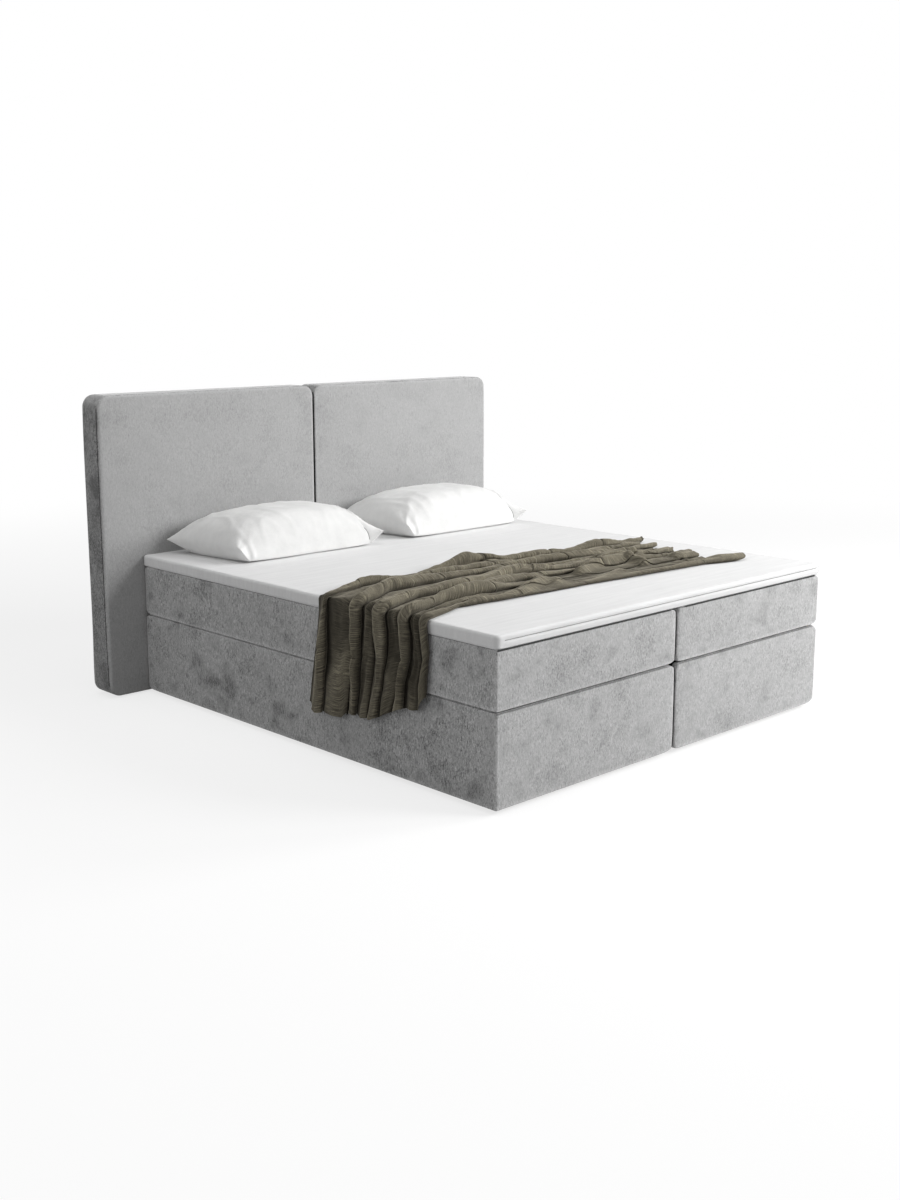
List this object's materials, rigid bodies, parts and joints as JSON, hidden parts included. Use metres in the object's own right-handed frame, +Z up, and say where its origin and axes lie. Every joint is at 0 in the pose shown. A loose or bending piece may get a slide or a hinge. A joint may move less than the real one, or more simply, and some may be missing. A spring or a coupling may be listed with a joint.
{
  "type": "box spring bed",
  "caption": "Upholstered double bed with storage boxes under lift-up mattresses, a thin topper, a panelled padded headboard, pillows and a draped throw.",
  "frame": {"origin": "on the floor, in the middle of the bed's overall width and depth", "axes": "+Z up, headboard towards +Y, foot end towards -Y, +X to the right of someone who stands at the foot end and looks at the headboard"},
  "size_m": [2.14, 2.139, 1.223],
  "materials": {
    "grey_velvet": "short-pile velvet with a clouded nap",
    "chipboard": "raw pressed board",
    "hardboard": "smooth pressed board",
    "pine": "planed softwood",
    "birch_slats": "satin lacquer",
    "black_plastic": "moulded, matt",
    "zinc_steel": "zinc plated",
    "black_paint": "satin paint",
    "polished_rod": "polished",
    "foam": "open-cell foam",
    "pocket_springs": "non-woven spring pockets",
    "white_cotton": "plain woven cotton",
    "white_jersey": "fine jersey",
    "olive_linen": "slubbed linen weave",
    "black_felt": "felt"
  },
  "bodies": {
    "base": {"left_box_side_pad": "grey_velvet", "left_box_foot_pad": "grey_velvet", "left_box_outer_board": "chipboard", "left_box_inner_board": "chipboard", "left_box_foot_board": "chipboard", "left_box_head_board": "chipboard", "left_box_floor": "hardboard", "left_box_corner_posts": "pine", "left_box_glides": "black_plastic", "left_lift_base_plates": "zinc_steel", "left_headboard_pad": "grey_velvet", "left_headboard_board": "chipboard", "right_box_side_pad": "grey_velvet", "right_box_foot_pad": "grey_velvet", "right_box_outer_board": "chipboard", "right_box_inner_board": "chipboard", "right_box_foot_board": "chipboard", "right_box_head_board": "chipboard", "right_box_floor": "hardboard", "right_box_corner_posts": "pine", "right_box_glides": "black_plastic", "right_lift_base_plates": "zinc_steel", "right_headboard_pad": "grey_velvet", "right_headboard_board": "chipboard", "headboard_joining_plates": "zinc_steel", "headboard_glides": "black_plastic", "headboard_brackets": "zinc_steel", "headboard_bolts": "zinc_steel", "box_connector_bolts": "zinc_steel", "box_connector_spacers": "black_felt"},
    "left_upper_arms": {"left_lift_upper_arms": "zinc_steel"},
    "left_lower_arms": {"left_lift_lower_arms": "zinc_steel"},
    "left_lid": {"left_lid_side_rails": "pine", "left_lid_end_rails": "pine", "left_lid_slats": "birch_slats", "left_lift_lid_plates": "zinc_steel", "left_mattress_cover": "grey_velvet", "left_mattress_foam": "foam", "left_mattress_springs": "pocket_springs"},
    "left_spring_tubes": {"left_gas_spring_tubes": "black_paint"},
    "left_spring_rods": {"left_gas_spring_rods": "polished_rod"},
    "right_upper_arms": {"right_lift_upper_arms": "zinc_steel"},
    "right_lower_arms": {"right_lift_lower_arms": "zinc_steel"},
    "right_lid": {"right_lid_side_rails": "pine", "right_lid_end_rails": "pine", "right_lid_slats": "birch_slats", "right_lift_lid_plates": "zinc_steel", "right_mattress_cover": "grey_velvet", "right_mattress_foam": "foam", "right_mattress_springs": "pocket_springs"},
    "right_spring_tubes": {"right_gas_spring_tubes": "black_paint"},
    "right_spring_rods": {"right_gas_spring_rods": "polished_rod"},
    "topper": {"topper_cover": "white_jersey", "topper_core": "foam"},
    "throw": {"throw_blanket": "olive_linen"},
    "left_pillow": {"left_pillow": "white_cotton"},
    "right_pillow": {"right_pillow": "white_cotton"}
  },
  "joints": [
    {"name": "left_lift", "type": "hinge", "parent": "base", "child": "left_upper_arms", "pos_m": [0, 0.55997, 0.195], "axis": [1, 0, 0], "range_deg": [0, 70]},
    {"name": "left_lid_pivot", "type": "hinge", "parent": "left_upper_arms", "child": "left_lid", "pos_m": [0, 0.7505, 0.305], "axis": [-1, 0, 0], "range_deg": [0, 100]},
    {"name": "left_lower_arm_pivot", "type": "hinge", "parent": "base", "child": "left_lower_arms", "pos_m": [0, 0.5105, 0.09], "axis": [1, 0, 0], "range_deg": [0, 60.28]},
    {"name": "left_spring_tube_pivot", "type": "hinge", "parent": "base", "child": "left_spring_tubes", "pos_m": [0, 0.6305, 0.045], "axis": [1, 0, 0], "range_deg": [0, 57.49]},
    {"name": "left_spring_rod_slide", "type": "slide", "parent": "left_spring_tubes", "child": "left_spring_rods", "axis": [0, 0.6, 0.8], "range_m": [0, 0.0702]},
    {"name": "right_lift", "type": "hinge", "parent": "base", "child": "right_upper_arms", "pos_m": [0, 0.55997, 0.195], "axis": [1, 0, 0], "range_deg": [0, 70]},
    {"name": "right_lid_pivot", "type": "hinge", "parent": "right_upper_arms", "child": "right_lid", "pos_m": [0, 0.7505, 0.305], "axis": [-1, 0, 0], "range_deg": [0, 100]},
    {"name": "right_lower_arm_pivot", "type": "hinge", "parent": "base", "child": "right_lower_arms", "pos_m": [0, 0.5105, 0.09], "axis": [1, 0, 0], "range_deg": [0, 60.28]},
    {"name": "right_spring_tube_pivot", "type": "hinge", "parent": "base", "child": "right_spring_tubes", "pos_m": [0, 0.6305, 0.045], "axis": [1, 0, 0], "range_deg": [0, 57.49]},
    {"name": "right_spring_rod_slide", "type": "slide", "parent": "right_spring_tubes", "child": "right_spring_rods", "axis": [0, 0.6, 0.8], "range_m": [0, 0.0702]},
    {"name": "topper_lift_off", "type": "slide", "parent": "left_lid", "child": "topper", "axis": [0, -0.5, 0.866], "range_m": [0, 0.3]},
    {"name": "throw_lift_off", "type": "slide", "parent": "topper", "child": "throw", "axis": [0, -0.5, 0.866], "range_m": [0, 0.4]},
    {"name": "left_pillow_lift_off", "type": "slide", "parent": "topper", "child": "left_pillow", "axis": [0, -0.5, 0.866], "range_m": [0, 0.3]},
    {"name": "right_pillow_lift_off", "type": "slide", "parent": "topper", "child": "right_pillow", "axis": [0, -0.5, 0.866], "range_m": [0, 0.3]}
  ],
  "couplings": [
    {"joint": "left_lid_pivot", "follows": "left_lift", "ratio": 1.4286},
    {"joint": "left_lower_arm_pivot", "follows": "left_lift", "ratio": 0.86114},
    {"joint": "left_spring_tube_pivot", "follows": "left_lift", "ratio": 0.82129},
    {"joint": "left_spring_rod_slide", "follows": "left_lift", "m_per_rad": 0.057459},
    {"joint": "right_lift", "follows": "left_lift", "ratio": 1},
    {"joint": "right_lid_pivot", "follows": "left_lift", "ratio": 1.4286},
    {"joint": "right_lower_arm_pivot", "follows": "left_lift", "ratio": 0.86114},
    {"joint": "right_spring_tube_pivot", "follows": "left_lift", "ratio": 0.82129},
    {"joint": "right_spring_rod_slide", "follows": "left_lift", "m_per_rad": 0.057459}
  ]
}
